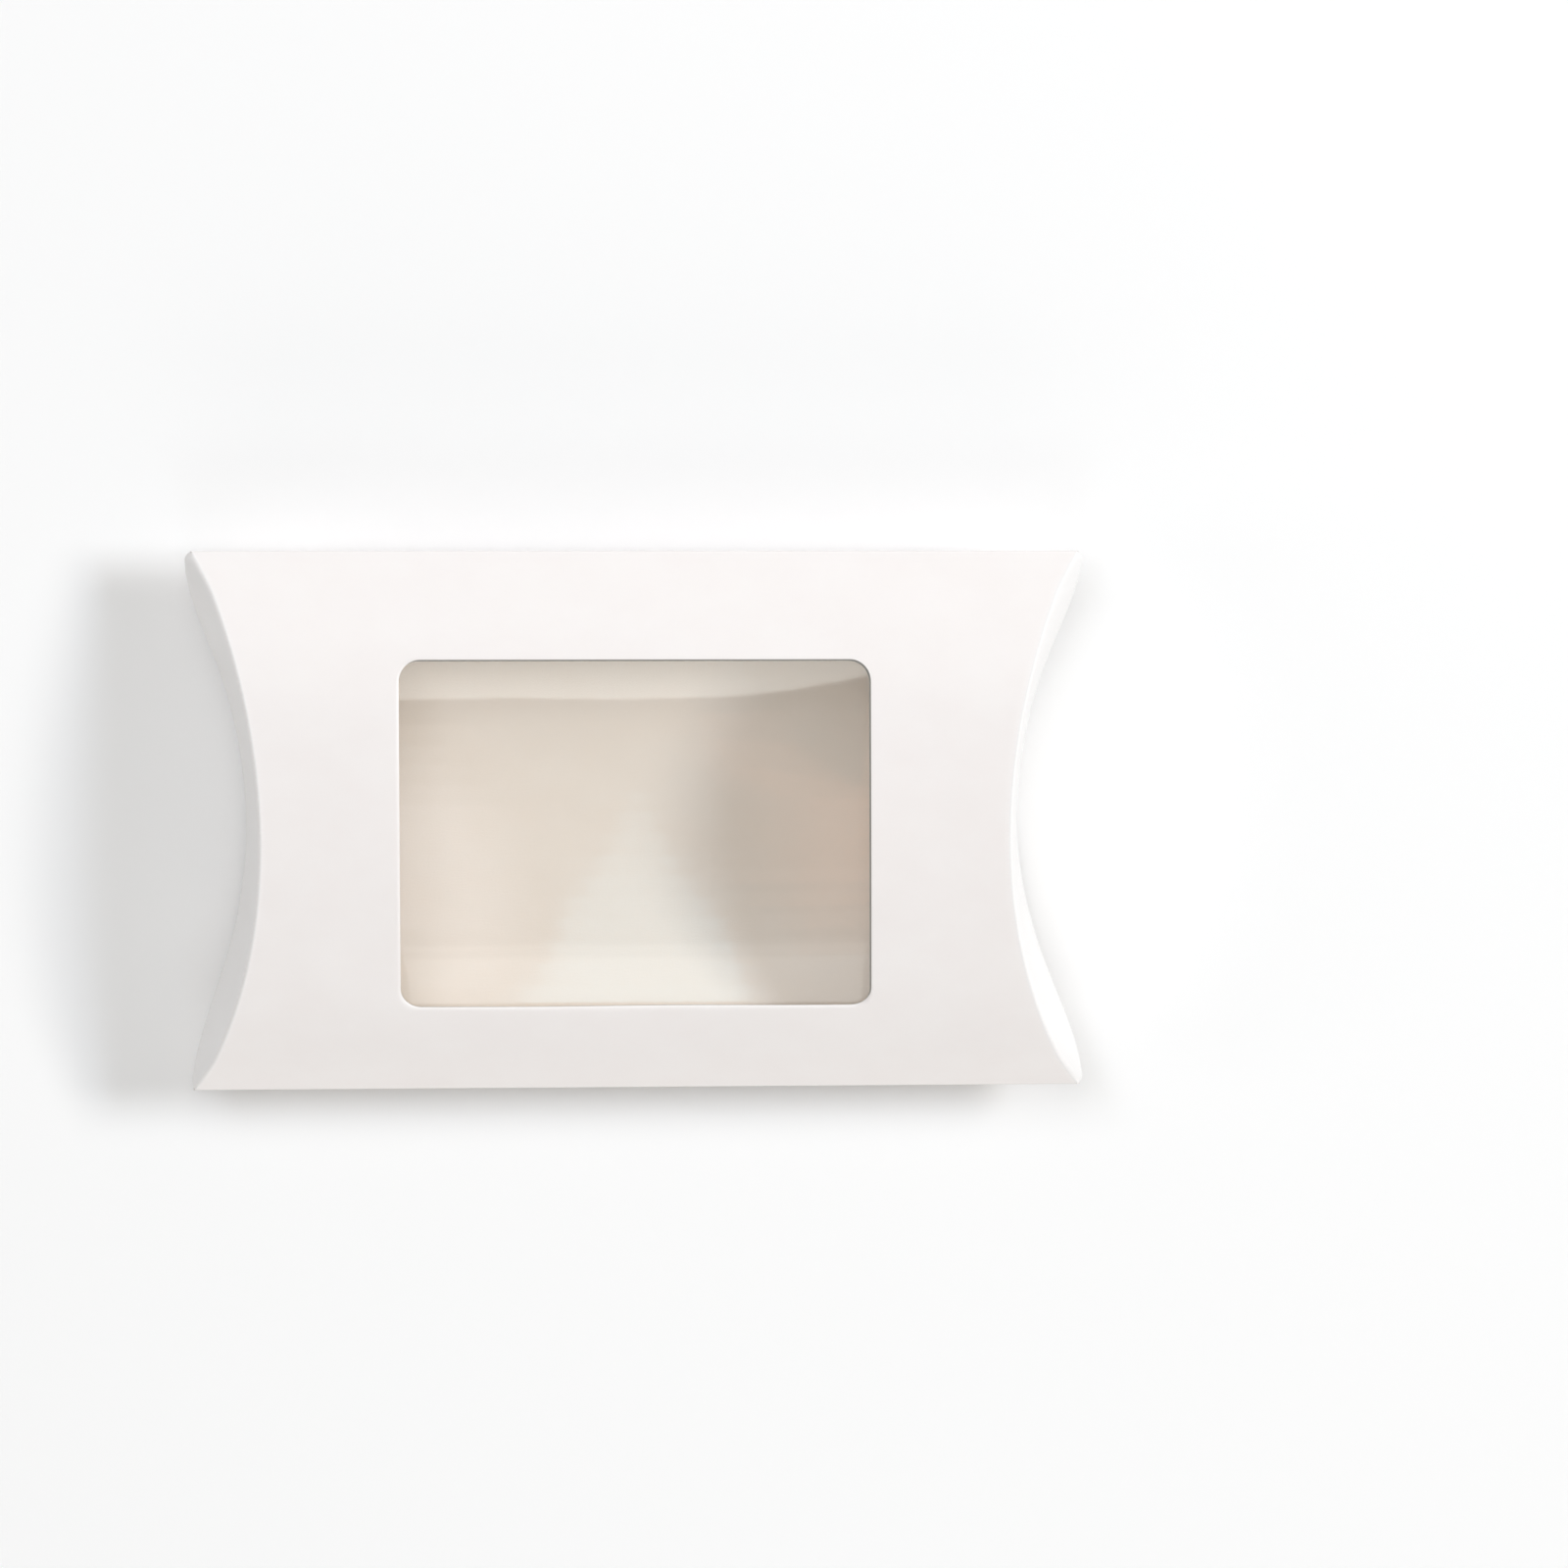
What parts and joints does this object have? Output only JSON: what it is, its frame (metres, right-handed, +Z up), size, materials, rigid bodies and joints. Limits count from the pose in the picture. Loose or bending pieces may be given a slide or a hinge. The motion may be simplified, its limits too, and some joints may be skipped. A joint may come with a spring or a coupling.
{
  "type": "pillow box",
  "caption": "Folded card pillow box with curved creased ends, lens-shaped end flaps that swing open, a glued seam and a clear film window in its front panel.",
  "frame": {"origin": "under the middle of the box, where the crown of the back panel rests on a table", "axes": "+X along the length, +Y across the breadth towards the glued seam, +Z up out of the window"},
  "size_m": [0.124, 0.08, 0.02],
  "materials": {
    "board": "satin coated outside, uncoated cream inside",
    "film": "clear gloss",
    "adhesive": "dried white glue"
  },
  "bodies": {
    "sleeve": {"front_panel": "board", "back_panel": "board", "glue_tab": "board", "seam_glue": "adhesive", "window_film": "film", "window_glue": "adhesive"},
    "left_outer": {"left_outer_flap": "board"},
    "right_outer": {"right_outer_flap": "board"},
    "left_inner": {"left_inner_flap": "board"},
    "right_inner": {"right_inner_flap": "board"}
  },
  "joints": [
    {"name": "left_outer_fold", "type": "hinge", "parent": "sleeve", "child": "left_outer", "pos_m": [-0.0525, 0, 0.02], "axis": [0, 1, 0], "range_deg": [0, 90]},
    {"name": "right_outer_fold", "type": "hinge", "parent": "sleeve", "child": "right_outer", "pos_m": [0.0525, 0, 0.02], "axis": [0, -1, 0], "range_deg": [0, 90]},
    {"name": "left_inner_fold", "type": "hinge", "parent": "sleeve", "child": "left_inner", "pos_m": [-0.0519, 0, 0], "axis": [0, -1, 0], "range_deg": [0, 67.5]},
    {"name": "right_inner_fold", "type": "hinge", "parent": "sleeve", "child": "right_inner", "pos_m": [0.0519, 0, 0], "axis": [0, 1, 0], "range_deg": [0, 67.5]}
  ],
  "couplings": [
    {"joint": "left_inner_fold", "follows": "left_outer_fold", "ratio": 0.75},
    {"joint": "right_inner_fold", "follows": "right_outer_fold", "ratio": 0.75}
  ]
}
